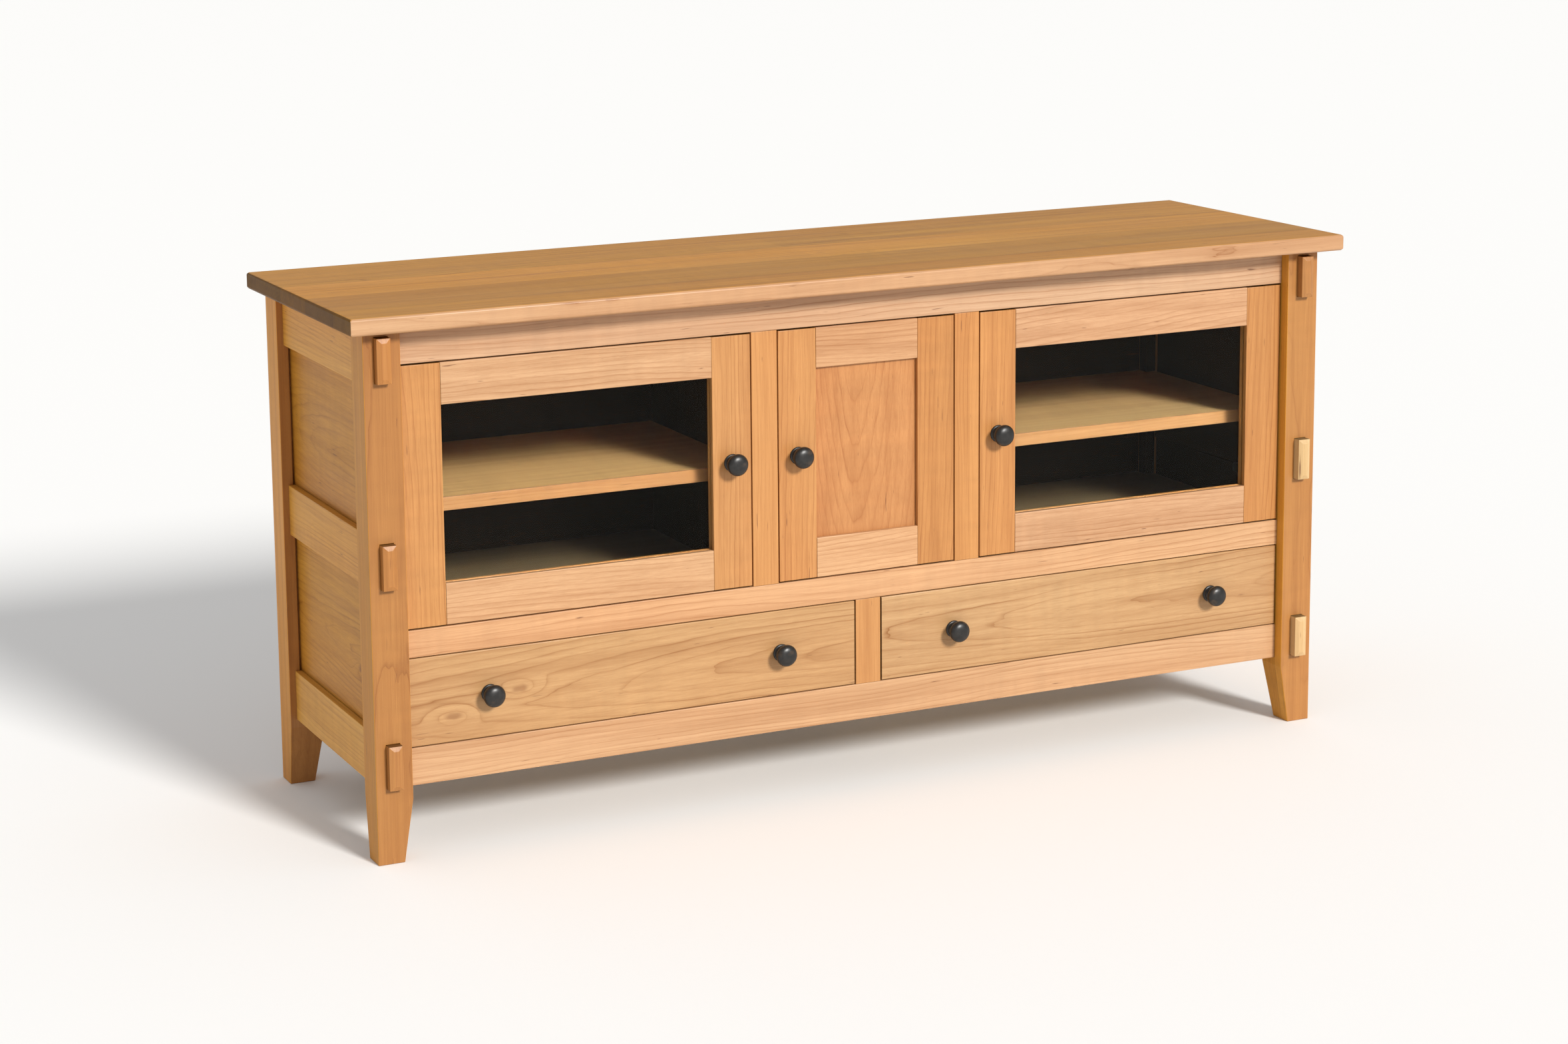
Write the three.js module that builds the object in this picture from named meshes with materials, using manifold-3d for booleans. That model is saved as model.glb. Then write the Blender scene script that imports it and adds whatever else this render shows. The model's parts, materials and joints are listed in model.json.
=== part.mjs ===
// A low console cabinet for a television: a frame-and-panel case on four tapered legs, with a glazed door
// at each end, a panelled door between them and two drawers below. Millimetres, +Z up, front towards -Y.
// The part's origin is on the floor under the middle of the top. Inside the cabinet group, y is measured
// from the plane of the door and drawer faces.
import * as THREE from "three";
import { mergeVertices } from "three/addons/utils/BufferGeometryUtils.js";
import Module from "manifold-3d";

// Case
const BODY_WIDTH = 1524; // over the outer faces of the legs
const HEIGHT = 762;
const TOP_THICKNESS = 24;
const TOP_SIDE_OVERHANG = 25.5;
const TOP_FRONT_OVERHANG = 30; // beyond the front faces of the legs
const TOP_BACK_OVERHANG = 5;
const TOP_EASE = 2.5; // small chamfer round the top's edges
const FRAME_THICKNESS = 22; // face frame, doors and drawer fronts
const BODY_TOP = HEIGHT - TOP_THICKNESS;

// Legs
const LEG_WIDTH = 52.5;
const LEG_DEPTH = 50;
const LEG_PROUD = 17; // how far the front legs stand in front of the face frame
const FOOT_SIZE = 38;
const TAPER_HEIGHT = 89;
const REAR_LEG_BACK = 421;
const LEG_OUTER = BODY_WIDTH / 2;
const LEG_INNER = LEG_OUTER - LEG_WIDTH;
const FRONT_LEG = [-LEG_PROUD, LEG_DEPTH - LEG_PROUD];
const REAR_LEG = [REAR_LEG_BACK - LEG_DEPTH, REAR_LEG_BACK];

// Heights of the rails, drawers and doors
const APRON_BOTTOM = 101;
const DRAWER_OPENING = [154, 281];
const DOOR_OPENING = [319.5, 687.5];
const SIDE_RAILS = { bottom: [APRON_BOTTOM, 175], middle: [380, 454], top: [660, BODY_TOP] };
const TENON_HEIGHT = 62;

// Sides
const SIDE_RAIL_OUTER = LEG_OUTER - 9.5;
const SIDE_RAIL_INNER = LEG_OUTER - 35.5;
const SIDE_PANEL_OUTER = LEG_OUTER - 20;
const SIDE_PANEL_INNER = LEG_OUTER - 31;
const TENON_WIDTH = 20;
const TENON_PROUD = 14.5; // beyond the front face of the leg
const TENON_CHAMFER = 6.5; // the four sloping facets of its end, seen from the front
const TENON_CROWN = 2.5; // how far those facets slope
const GROOVE_DEPTH = 8;
const GROOVE_REVEAL = 3.5; // dark gap left beside the panel in the rear leg's groove
const FIT = 0.25; // clearance round a panel, a pane or a tenon in its groove or mortise

// Front
const MULLION = [143.5, 183.5];
const DRAWER_MULLION = 20;
const DOOR_GAP = 2;
const STILE_WIDTH = 59.5;
const DOOR_RAIL_HEIGHT = 58;
const PANE = [8, 12]; // front and back faces of the glass, behind the door's face
const DOOR_PANEL = [7, 13];
const REBATE = 7; // how far a pane or a panel runs under its frame

// Inside
const PARTITION = [148, 167];
const BAY_FLOOR = [300.5, 319.5];
const SHELF = [471, 490];
const SHELF_FRONT = 40;
const BACK_PANEL = [391, 397];
const BACK_RAIL = [398, 418];
const BACK_RAIL_HEIGHT = 74;
const SHELF_END_GAP = 1;

// Drawers
const DRAWER_SIDE_GAP = 13;
const DRAWER_WALL = 12;
const DRAWER_BOX = [162, 262];
const DRAWER_BACK = 380;
const DRAWER_BOTTOM = [168, 174];
const BOTTOM_GROOVE = 5;
const RUNNER = { width: 36, z: [136, 160] };

// Knobs
const KNOB_LENGTH = 27;
const KNOB_FACETS = 20;
const KNOB_PROFILE = [
  [0, 0], [12.5, 0], [12.9, 1.6], [11.4, 3], [8.8, 4.4], [7, 7], [7, 10], [9.6, 12.4],
  [14, 14.6], [15.8, 18], [15.2, 21.6], [12, 25], [6.6, 26.6], [0, KNOB_LENGTH],
];
const DRAWER_KNOB_OFFSET = 223.5; // either side of the drawer's middle

const wasm = await Module();
wasm.setup();

const finish = (color, roughness, metalness = 0, more = {}) => () =>
  new THREE.MeshStandardMaterial({ color, roughness, metalness, ...more });
const FINISHES = {
  top: finish(0xc08c50, 0.42),
  leg: finish(0xd4935a, 0.45),
  frame: finish(0xeab888, 0.45),
  side: finish(0xc08a4e, 0.5),
  front: finish(0xe2a870, 0.45),
  inner: finish(0x9c7a4c, 0.7),
  knob: finish(0x2a2825, 0.38, 0.15),
  glass: finish(0xdfe8e6, 0.05, 0, { transparent: true, opacity: 0.3 }),
};

const middle = ([low, high]) => (low + high) / 2;
const length = ([low, high]) => high - low;
const grown = ([low, high], by) => [low - by, high + by];
// A range on one side of the centre plane: side is 1 for the right, -1 for the left.
const onSide = (side, [near, far]) => (side > 0 ? [near, far] : [-far, -near]);

/** A manifold-3d solid made from a closed three.js geometry. */
function solidOf(geometry) {
  const bare = geometry.clone();
  bare.deleteAttribute("normal");
  bare.deleteAttribute("uv");
  const merged = mergeVertices(bare, 1e-4);
  return new wasm.Manifold(
    new wasm.Mesh({
      numProp: 3,
      vertProperties: merged.attributes.position.array,
      triVerts: new Uint32Array(merged.index.array),
    }),
  );
}

/** The three.js geometry of a manifold-3d solid. */
function geometryOf(solid) {
  const { vertProperties, triVerts } = solid.getMesh();
  const geometry = new THREE.BufferGeometry();
  geometry.setAttribute("position", new THREE.BufferAttribute(vertProperties, 3));
  geometry.setIndex(new THREE.BufferAttribute(triVerts, 1));
  geometry.computeVertexNormals();
  return geometry;
}

/** A box that fills the ranges x, y and z. */
function block(x, y, z) {
  const box = new THREE.BoxGeometry(length(x), length(y), length(z));
  return box.translate(middle(x), middle(y), middle(z));
}

/** The geometry left when blocks, each given as [x, y, z] ranges, are cut from it. */
function cut(geometry, blocks) {
  const left = blocks.reduce((solid, b) => solid.subtract(solidOf(block(...b))), solidOf(geometry));
  return geometryOf(left);
}

/** Adds a named mesh to the group, with its geometry moved to its own centre. */
function add(group, name, finishName, geometry) {
  geometry.computeBoundingBox();
  const centre = geometry.boundingBox.getCenter(new THREE.Vector3());
  geometry.translate(-centre.x, -centre.y, -centre.z);
  const mesh = new THREE.Mesh(geometry, FINISHES[finishName]());
  mesh.name = name;
  mesh.position.copy(centre);
  group.add(mesh);
  return mesh;
}

/** Adds a square-edged board that fills the ranges x, y and z, less the blocks cut from it. */
function board(group, name, finishName, x, y, z, cuts = []) {
  const whole = block(x, y, z);
  return add(group, name, finishName, cuts.length ? cut(whole, cuts) : whole);
}

const tenonHeights = (rail) => {
  const centre = middle(rail);
  return [centre - TENON_HEIGHT / 2, centre + TENON_HEIGHT / 2];
};
const PANELS = {
  lower: [SIDE_RAILS.bottom[1], SIDE_RAILS.middle[0]],
  upper: [SIDE_RAILS.middle[1], SIDE_RAILS.top[0]],
};
const TENON_X = [SIDE_RAIL_INNER, SIDE_RAIL_INNER + TENON_WIDTH];
const PANEL_GROOVE_X = [SIDE_PANEL_INNER - FIT, SIDE_PANEL_OUTER + FIT];
const REVEAL_GROOVE_X = [SIDE_PANEL_INNER - FIT, SIDE_PANEL_OUTER + GROOVE_REVEAL];

/** A square leg whose two inner faces taper to the foot. */
function legShape(side, y, innerY) {
  const shape = new THREE.BoxGeometry(LEG_WIDTH, LEG_DEPTH, BODY_TOP, 1, 1, 2);
  shape.translate((side * (LEG_OUTER + LEG_INNER)) / 2, middle(y), BODY_TOP / 2);
  const p = shape.attributes.position;
  const innerX = side * LEG_INNER;
  for (let i = 0; i < p.count; i++) {
    if (p.getZ(i) === BODY_TOP / 2) p.setZ(i, TAPER_HEIGHT);
    if (p.getZ(i) !== 0) continue;
    if (p.getX(i) === innerX) p.setX(i, side * (LEG_OUTER - FOOT_SIZE));
    if (p.getY(i) === innerY) p.setY(i, innerY + Math.sign(middle(y) - innerY) * (LEG_DEPTH - FOOT_SIZE));
  }
  return shape;
}

function addLegs(group) {
  for (const [label, side] of [["left", -1], ["right", 1]]) {
    const mortises = Object.values(SIDE_RAILS).map((rail) => [
      grown(onSide(side, TENON_X), FIT),
      grown(FRONT_LEG, 1),
      grown(tenonHeights(rail), FIT),
    ]);
    const frontGrooves = Object.values(PANELS).map((panel) => [
      onSide(side, PANEL_GROOVE_X),
      [FRONT_LEG[1] - GROOVE_DEPTH, FRONT_LEG[1] + 1],
      grown(panel, GROOVE_DEPTH),
    ]);
    const rearGrooves = Object.values(PANELS).map((panel) => [
      onSide(side, REVEAL_GROOVE_X),
      [REAR_LEG[0] - 1, REAR_LEG[0] + GROOVE_DEPTH],
      grown(panel, GROOVE_DEPTH),
    ]);
    const front = legShape(side, FRONT_LEG, FRONT_LEG[1]);
    const rear = legShape(side, REAR_LEG, REAR_LEG[0]);
    add(group, `leg_front_${label}`, "leg", cut(front, [...mortises, ...frontGrooves]));
    add(group, `leg_rear_${label}`, "leg", cut(rear, rearGrooves));
  }
}

/** A side rail whose tenon runs through the front leg and ends in a faceted block. */
function sideRailShape(side, z, grooves) {
  const rail = block(onSide(side, [SIDE_RAIL_INNER, SIDE_RAIL_OUTER]), [FRONT_LEG[1], REAR_LEG[0]], z);
  const x = grown(onSide(side, TENON_X), -TENON_CHAMFER);
  const height = grown(tenonHeights(z), -TENON_CHAMFER);
  const outline = new THREE.Shape([
    new THREE.Vector2(x[0], height[0]),
    new THREE.Vector2(x[1], height[0]),
    new THREE.Vector2(x[1], height[1]),
    new THREE.Vector2(x[0], height[1]),
  ]);
  const tenon = new THREE.ExtrudeGeometry(outline, {
    depth: LEG_DEPTH + TENON_PROUD + GROOVE_DEPTH - 2 * TENON_CROWN,
    bevelThickness: TENON_CROWN,
    bevelSize: TENON_CHAMFER,
    bevelSegments: 1,
  });
  tenon.rotateX(Math.PI / 2);
  tenon.translate(0, FRONT_LEG[1] + GROOVE_DEPTH - TENON_CROWN, 0);
  return cut(geometryOf(solidOf(rail).add(solidOf(tenon))), grooves);
}

function addSides(group) {
  const railLength = [FRONT_LEG[1] - GROOVE_DEPTH, REAR_LEG[0] + 1];
  for (const [label, side] of [["left", -1], ["right", 1]]) {
    const grooveX = onSide(side, PANEL_GROOVE_X);
    const above = (rail) => [grooveX, railLength, [rail[1] - GROOVE_DEPTH, rail[1] + 1]];
    const below = (rail) => [grooveX, railLength, [rail[0] - 1, rail[0] + GROOVE_DEPTH]];
    const grooves = {
      bottom: [above(SIDE_RAILS.bottom)],
      middle: [below(SIDE_RAILS.middle), above(SIDE_RAILS.middle)],
      top: [below(SIDE_RAILS.top)],
    };
    for (const [place, z] of Object.entries(SIDE_RAILS))
      add(group, `side_rail_${place}_${label}`, "side", sideRailShape(side, z, grooves[place]));
    for (const [place, z] of Object.entries(PANELS))
      board(group, `side_panel_${place}_${label}`, "side", onSide(side, [SIDE_PANEL_INNER, SIDE_PANEL_OUTER]),
        grown([FRONT_LEG[1], REAR_LEG[0]], GROOVE_DEPTH - FIT), grown(z, GROOVE_DEPTH - FIT));
  }
}

function addFaceFrame(group) {
  const full = [-LEG_INNER, LEG_INNER];
  const y = [0, FRAME_THICKNESS];
  board(group, "frame_rail_top", "frame", full, y, [DOOR_OPENING[1], BODY_TOP]);
  board(group, "frame_rail_middle", "frame", full, y, [DRAWER_OPENING[1], DOOR_OPENING[0]]);
  board(group, "frame_rail_bottom", "frame", full, y, [APRON_BOTTOM, DRAWER_OPENING[0]]);
  board(group, "door_mullion_left", "frame", onSide(-1, MULLION), y, DOOR_OPENING);
  board(group, "door_mullion_right", "frame", onSide(1, MULLION), y, DOOR_OPENING);
  board(group, "drawer_mullion", "frame", [-DRAWER_MULLION, DRAWER_MULLION], y, DRAWER_OPENING);
}

function addTop(group) {
  const x = LEG_OUTER + TOP_SIDE_OVERHANG - TOP_EASE;
  const y = [FRONT_LEG[0] - TOP_FRONT_OVERHANG + TOP_EASE, REAR_LEG_BACK + TOP_BACK_OVERHANG - TOP_EASE];
  const outline = new THREE.Shape([
    new THREE.Vector2(-x, y[0]),
    new THREE.Vector2(x, y[0]),
    new THREE.Vector2(x, y[1]),
    new THREE.Vector2(-x, y[1]),
  ]);
  const slab = new THREE.ExtrudeGeometry(outline, {
    depth: TOP_THICKNESS - 2 * TOP_EASE,
    bevelThickness: TOP_EASE,
    bevelSize: TOP_EASE,
    bevelSegments: 1,
  });
  add(group, "top_slab", "top", slab.translate(0, 0, BODY_TOP + TOP_EASE));
}

function addInside(group) {
  const sideInner = SIDE_RAIL_INNER;
  const depth = [FRAME_THICKNESS, BACK_PANEL[0]];
  const clearOfLegs = [
    [[-BODY_WIDTH, -LEG_INNER], [0, FRONT_LEG[1]], [0, HEIGHT]],
    [[LEG_INNER, BODY_WIDTH], [0, FRONT_LEG[1]], [0, HEIGHT]],
    [[-BODY_WIDTH, -LEG_INNER], [REAR_LEG[0], REAR_LEG_BACK], [0, HEIGHT]],
    [[LEG_INNER, BODY_WIDTH], [REAR_LEG[0], REAR_LEG_BACK], [0, HEIGHT]],
  ];
  board(group, "bay_floor", "inner", [-sideInner, sideInner], depth, BAY_FLOOR, clearOfLegs);
  for (const [label, side] of [["left", -1], ["right", 1]]) {
    board(group, `partition_${label}`, "inner", onSide(side, PARTITION), depth, [BAY_FLOOR[1], BODY_TOP]);
    const shelfX = [PARTITION[1] + SHELF_END_GAP, sideInner - SHELF_END_GAP];
    const shelfY = [SHELF_FRONT, BACK_PANEL[0] - SHELF_END_GAP];
    board(group, `shelf_${label}`, "inner", onSide(side, shelfX), shelfY, SHELF, clearOfLegs);
  }
  const backX = [-LEG_INNER, LEG_INNER];
  board(group, "back_panel", "inner", backX, BACK_PANEL, [APRON_BOTTOM, BODY_TOP]);
  board(group, "back_rail_top", "side", backX, BACK_RAIL, [BODY_TOP - BACK_RAIL_HEIGHT, BODY_TOP]);
  board(group, "back_rail_bottom", "side", backX, BACK_RAIL, [APRON_BOTTOM, APRON_BOTTOM + BACK_RAIL_HEIGHT]);
}

/** A turned knob on the front plane, with its foot at (x, 0, z). */
function addKnob(group, name, x, z) {
  const profile = KNOB_PROFILE.map(([radius, height]) => new THREE.Vector2(radius, height));
  const knob = new THREE.Mesh(new THREE.LatheGeometry(profile, KNOB_FACETS), FINISHES.knob());
  knob.name = name;
  knob.rotation.x = Math.PI;
  knob.position.set(x, 0, z);
  group.add(knob);
}

/**
 * A framed door with two stiles, two rails, a glass pane or a wooden panel, and a knob.
 * hinge is -1 for a door hung on its left side and 1 for one hung on its right.
 */
function addDoor(group, label, opening, hinge, glazed) {
  const y = [0, FRAME_THICKNESS];
  const x = grown(opening, -DOOR_GAP);
  const z = grown(DOOR_OPENING, -DOOR_GAP);
  const inX = grown(x, -STILE_WIDTH);
  const inZ = grown(z, -DOOR_RAIL_HEIGHT);
  const fill = glazed ? PANE : DOOR_PANEL;
  const recessY = glazed ? [fill[0] - FIT, FRAME_THICKNESS + 1] : grown(fill, FIT);
  const recess = [[grown(inX, REBATE + FIT), recessY, grown(inZ, REBATE + FIT)]];
  const [hingeX, latchX] = hinge < 0
    ? [[x[0], inX[0]], [inX[1], x[1]]]
    : [[inX[1], x[1]], [x[0], inX[0]]];
  board(group, `door_${label}_stile_hinge`, "frame", hingeX, y, z, recess);
  board(group, `door_${label}_stile_latch`, "frame", latchX, y, z, recess);
  board(group, `door_${label}_rail_top`, "frame", inX, y, [inZ[1], z[1]], recess);
  board(group, `door_${label}_rail_bottom`, "frame", inX, y, [z[0], inZ[0]], recess);
  const fillName = glazed ? `door_${label}_glass` : `door_${label}_panel`;
  board(group, fillName, glazed ? "glass" : "front", grown(inX, REBATE), fill, grown(inZ, REBATE));
  addKnob(group, `door_${label}_knob`, middle(latchX), middle(z));
}

/** A drawer: an inset front with two knobs, a three-sided box and a bottom let into grooves. */
function addDrawer(group, label, opening) {
  const x = grown(opening, -DOOR_GAP);
  const z = grown(DRAWER_OPENING, -DOOR_GAP + 0.5);
  board(group, `drawer_${label}_front`, "front", x, [0, FRAME_THICKNESS - 2], z);
  const boxX = grown(opening, -DRAWER_SIDE_GAP);
  const boxY = [FRAME_THICKNESS - 2, DRAWER_BACK];
  const insideX = grown(boxX, -DRAWER_WALL);
  const insideY = [boxY[0] - 1, boxY[1] - DRAWER_WALL];
  const groove = [
    grown(insideX, BOTTOM_GROOVE),
    [boxY[0] - 1, insideY[1] + BOTTOM_GROOVE],
    grown(DRAWER_BOTTOM, FIT),
  ];
  const hollow = [insideX, insideY, grown(DRAWER_BOX, 1)];
  board(group, `drawer_${label}_box`, "inner", boxX, boxY, DRAWER_BOX, [hollow, groove]);
  board(group, `drawer_${label}_bottom`, "inner", grown(insideX, BOTTOM_GROOVE - FIT),
    [boxY[0], insideY[1] + BOTTOM_GROOVE - FIT], DRAWER_BOTTOM);
  for (const [knob, offset] of [["a", -DRAWER_KNOB_OFFSET], ["b", DRAWER_KNOB_OFFSET]])
    addKnob(group, `drawer_${label}_knob_${knob}`, middle(x) + offset, middle(z));
  const runnerX = [middle(boxX) - RUNNER.width / 2, middle(boxX) + RUNNER.width / 2];
  board(group, `drawer_${label}_runner`, "inner", runnerX, [FRAME_THICKNESS, BACK_PANEL[0]], RUNNER.z);
}

const cabinet = new THREE.Group();
const topFront = -LEG_PROUD - TOP_FRONT_OVERHANG;
const topBack = REAR_LEG_BACK + TOP_BACK_OVERHANG;
cabinet.position.y = -(topFront + topBack) / 2;
addTop(cabinet);
addLegs(cabinet);
addSides(cabinet);
addFaceFrame(cabinet);
addInside(cabinet);
addDoor(cabinet, "left", [-LEG_INNER, -MULLION[1]], -1, true);
addDoor(cabinet, "centre", [-MULLION[0], MULLION[0]], 1, false);
addDoor(cabinet, "right", [MULLION[1], LEG_INNER], 1, true);
addDrawer(cabinet, "left", [-LEG_INNER, -DRAWER_MULLION]);
addDrawer(cabinet, "right", [DRAWER_MULLION, LEG_INNER]);

const part = new THREE.Group();
part.add(cabinet);

export default part;
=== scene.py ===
"""A low cherry console cabinet for a television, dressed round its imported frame.

Every board is a bevelled solid with its own cut of timber. Lengths are metres, +Z is up and the front
faces -Y. The frame's boxes give every place; the sizes below are the small details that it leaves out.
"""

import json
import logging
import math
import random
from dataclasses import dataclass
from enum import Enum

import bmesh
import bpy
from mathutils import Matrix, Vector


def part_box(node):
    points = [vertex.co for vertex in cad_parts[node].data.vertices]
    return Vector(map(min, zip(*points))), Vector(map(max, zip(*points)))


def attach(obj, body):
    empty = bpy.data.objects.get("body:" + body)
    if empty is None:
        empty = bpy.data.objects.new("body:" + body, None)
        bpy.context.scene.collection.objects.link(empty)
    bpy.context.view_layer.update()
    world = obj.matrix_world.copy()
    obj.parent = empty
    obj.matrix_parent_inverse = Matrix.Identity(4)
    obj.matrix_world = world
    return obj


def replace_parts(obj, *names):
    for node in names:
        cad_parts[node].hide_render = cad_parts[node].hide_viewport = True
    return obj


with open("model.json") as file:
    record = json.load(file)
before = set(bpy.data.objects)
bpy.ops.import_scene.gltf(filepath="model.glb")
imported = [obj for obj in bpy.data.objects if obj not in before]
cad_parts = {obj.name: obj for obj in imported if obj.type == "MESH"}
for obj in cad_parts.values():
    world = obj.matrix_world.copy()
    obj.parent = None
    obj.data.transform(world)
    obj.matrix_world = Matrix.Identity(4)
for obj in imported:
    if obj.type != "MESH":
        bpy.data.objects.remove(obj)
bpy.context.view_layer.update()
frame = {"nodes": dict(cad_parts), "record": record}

LOG = logging.getLogger("console")
MM = 0.001
SIDES = {"left": -1, "right": 1}
NO_KNOT = (9.0, 9.0)  # far outside every board
KNOT_SIZE = (0.060, 0.024)  # along and across the fibres
SEAM_START = 0.37  # how far into a strip a laminated board begins, so that no glue line lies on its face
SMOOTH_BELOW = 60 * MM * MM  # metal faces smaller than this belong to a bevel or a turned wall
Colour = tuple[float, float, float]
Span = tuple[float, float]
Socket = bpy.types.NodeSocket
Piece = bpy.types.Object
Solid = bmesh.types.BMesh


class Axis(Enum):
    """A direction of the cabinet: X along it, Y from front to back, Z up."""

    X = 0
    Y = 1
    Z = 2


class Cut(Enum):
    """How a board was sawn from the log: how far the pith lies aside of it and under it, in metres."""

    FLAT = (0.012, 0.045)
    RIFT = (0.070, 0.050)
    QUARTER = (0.170, 0.020)


@dataclass(frozen=True)
class Grain:
    """How a board's timber runs.

    Attributes:
        along: The direction of the fibres.
        across: The direction over the board's width, which glued strips follow.
        cut: How the board was sawn.
        slope: How fast the pith comes nearer along the board, which draws out the arches.
        strip: The width of each glued strip across the board, or 0 for a single board.
        knots: Up to two knots, each as its place along and across the board from its centre.
    """

    along: Axis
    across: Axis
    cut: Cut = Cut.RIFT
    slope: float = 0.012
    strip: float = 0.0
    knots: tuple[Span, ...] = ()

    @property
    def deep(self) -> Axis:
        """The direction through the board's thickness."""
        return Axis(3 - self.along.value - self.across.value)


# ---------------------------------------------------------------------------------------------- shaders


class Graph:
    """Adds shader nodes to one node tree and links them."""

    def __init__(self, tree: bpy.types.NodeTree) -> None:
        """Works on the tree."""
        self.tree = tree

    def node(self, kind: str, **settings: object) -> bpy.types.Node:
        """Adds a node of a kind, named without its ShaderNode start, with these properties."""
        made = self.tree.nodes.new("ShaderNode" + kind)
        for name, value in settings.items():
            setattr(made, name, value)
        return made

    def feed(self, socket: Socket, value: object) -> None:
        """Links a socket to an input, or sets the input's own value."""
        if isinstance(value, Socket):
            self.tree.links.new(value, socket)
        else:
            socket.default_value = value

    def math(self, operation: str, *values: object, clamp: bool = False) -> Socket:
        """One step of arithmetic on numbers."""
        step = self.node("Math", operation=operation, use_clamp=clamp)
        for socket, value in zip(step.inputs, values):
            self.feed(socket, value)
        return step.outputs[0]

    def vector(self, operation: str, *values: object) -> Socket:
        """One step of arithmetic on vectors."""
        step = self.node("VectorMath", operation=operation)
        for socket, value in zip(step.inputs, values):
            self.feed(socket, value)
        return step.outputs["Value" if operation == "LENGTH" else "Vector"]

    def noise(self, vector: object, scale: Colour, detail: float = 2.0, rough: float = 0.5) -> Socket:
        """Smooth noise from 0 to 1.

        Args:
            vector: The place it is read at.
            scale: Waves in a metre along each axis.
            detail: How many finer layers it has.
            rough: How strong the finer layers are.

        Returns:
            The socket with the value.
        """
        made = self.node("TexNoise")
        self.feed(made.inputs["Vector"], self.vector("MULTIPLY", vector, scale))
        made.inputs["Scale"].default_value = 1.0
        made.inputs["Detail"].default_value = detail
        made.inputs["Roughness"].default_value = rough
        return made.outputs["Fac"]

    def between(self, value: object, low: float, high: float, to: Span = (0.0, 1.0)) -> Socket:
        """The value's smooth step from low to high, given out over the range to."""
        step = self.node("MapRange", interpolation_type="SMOOTHSTEP")
        for name, number in (("From Min", low), ("From Max", high), ("To Min", to[0]), ("To Max", to[1])):
            step.inputs[name].default_value = number
        self.feed(step.inputs["Value"], value)
        return step.outputs["Result"]

    def curve(self, value: object, points: list[Span]) -> Socket:
        """The value passed through a smooth curve with these points."""
        made = self.node("FloatCurve")
        line = made.mapping.curves[0]
        while len(line.points) < len(points):
            line.points.new(0.5, 0.5)
        for point, place in zip(line.points, points):
            point.location = place
        made.mapping.update()
        self.feed(made.inputs["Value"], value)
        return made.outputs["Value"]

    def mix(self, share: object, first: object, second: object, blend: str = "MIX") -> Socket:
        """Two colours blended by a share from 0 to 1."""
        made = self.node("Mix", data_type="RGBA", blend_type=blend)
        self.feed(made.inputs["Factor"], share)
        self.feed(made.inputs["A"], first if isinstance(first, Socket) else (*first, 1.0))
        self.feed(made.inputs["B"], second if isinstance(second, Socket) else (*second, 1.0))
        return made.outputs["Result"]

    def attribute(self, name: str, output: str) -> Socket:
        """A board's own attribute, as its Fac or its Vector."""
        return self.node("Attribute", attribute_name=name).outputs[output]

    def times(self, first: object, second: object) -> Socket:
        """The product of two numbers."""
        return self.math("MULTIPLY", first, second)

    def plus(self, first: object, second: object) -> Socket:
        """The sum of two numbers."""
        return self.math("ADD", first, second)

    def centred(self, value: object) -> Socket:
        """A value from 0 to 1, moved to lie round 0."""
        return self.math("SUBTRACT", value, 0.5)

    @staticmethod
    def settle(node: bpy.types.Node, values: dict[str, object]) -> None:
        """Sets the own values of a node's inputs."""
        for label, value in values.items():
            node.inputs[label].default_value = value

    def bump(self, shader: bpy.types.Node, height: object, strength: float, depth: float) -> None:
        """Gives a shader a bump of that strength and depth in metres."""
        made = self.node("Bump")
        self.settle(made, {"Strength": strength, "Distance": depth})
        self.feed(made.inputs["Height"], height)
        self.feed(shader.inputs["Normal"], made.outputs["Normal"])


def new_material(name: str) -> tuple[bpy.types.Material, Graph, bpy.types.Node]:
    """Starts a material, and gives it with its graph and its Principled shader."""
    made = bpy.data.materials.new(name)
    made.use_nodes = True
    return made, Graph(made.node_tree), made.node_tree.nodes["Principled BSDF"]


def link_object(name: str, data: bpy.types.ID) -> Piece:
    """Puts a new object with this data into the scene."""
    made = bpy.data.objects.new(name, data)
    bpy.context.scene.collection.objects.link(made)
    return made


def whole(mesh: Solid) -> list:
    """Every vertex, edge and face of a mesh."""
    return [*mesh.verts, *mesh.edges, *mesh.faces]


def new_group(name: str, inputs: dict[str, str],
              outputs: dict[str, str]) -> tuple[Graph, dict, bpy.types.Node]:
    """Starts a shader node group.

    Args:
        name: The group's name.
        inputs: Each input's name and its socket type, Float, Color or Vector.
        outputs: The same for the outputs.

    Returns:
        The group's graph, its input sockets by name and its output node.
    """
    tree = bpy.data.node_groups.new(name, "ShaderNodeTree")
    for way, sockets in (("INPUT", inputs), ("OUTPUT", outputs)):
        for label, kind in sockets.items():
            tree.interface.new_socket(label, in_out=way, socket_type="NodeSocket" + kind)
    entry = tree.nodes.new("NodeGroupInput")
    return Graph(tree), {s.name: s for s in entry.outputs if s.name}, tree.nodes.new("NodeGroupOutput")


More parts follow.
